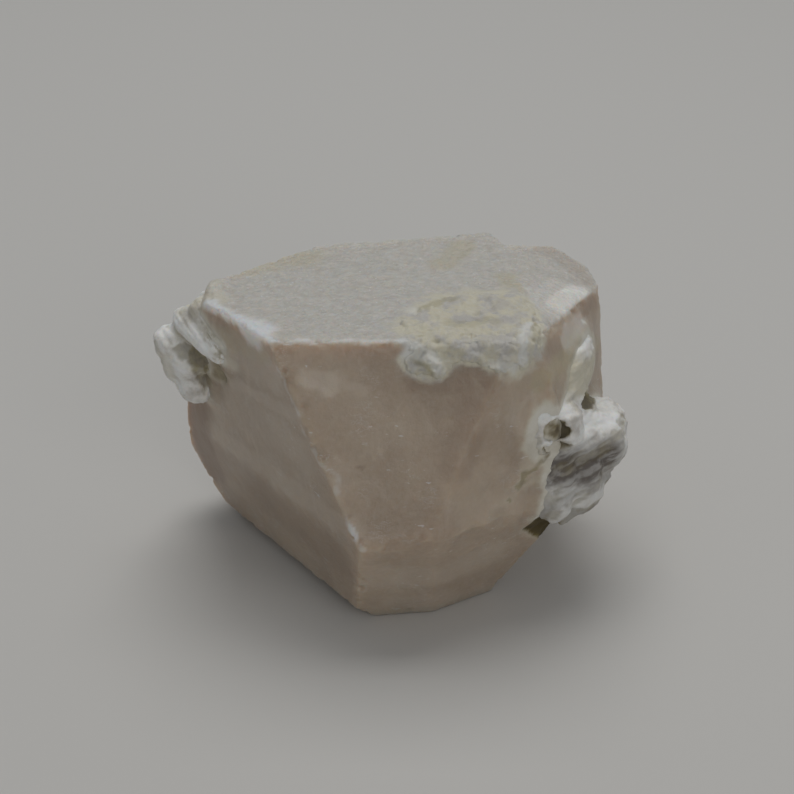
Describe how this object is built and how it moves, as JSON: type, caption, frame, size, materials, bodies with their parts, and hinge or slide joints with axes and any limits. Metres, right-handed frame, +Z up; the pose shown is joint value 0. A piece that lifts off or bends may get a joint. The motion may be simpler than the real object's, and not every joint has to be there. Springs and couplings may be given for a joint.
{
  "type": "rough topaz",
  "caption": "Rough milky topaz: a blocky crystal with a flat cleaved top, slanting faces down to a narrow foot, lumps of white matrix at its ends and a crust on its front ridge.",
  "frame": {"origin": "on the ground under the middle of the stone's bounding box", "axes": "+Z up, +X towards the stone's right end as the broad front faces are looked at, -Y towards the viewer"},
  "size_m": [0.042, 0.0303, 0.0288],
  "materials": {
    "milky_topaz": "milky, frosted on top and smoother on the front faces",
    "white_matrix": "dull, knobbly, with brown clay in the hollows",
    "pale_crust": "dull and granular"
  },
  "bodies": {
    "root": {"topaz_crystal": "milky_topaz", "matrix_left": "white_matrix", "matrix_right": "white_matrix", "ridge_crust": "pale_crust"}
  },
  "joints": []
}
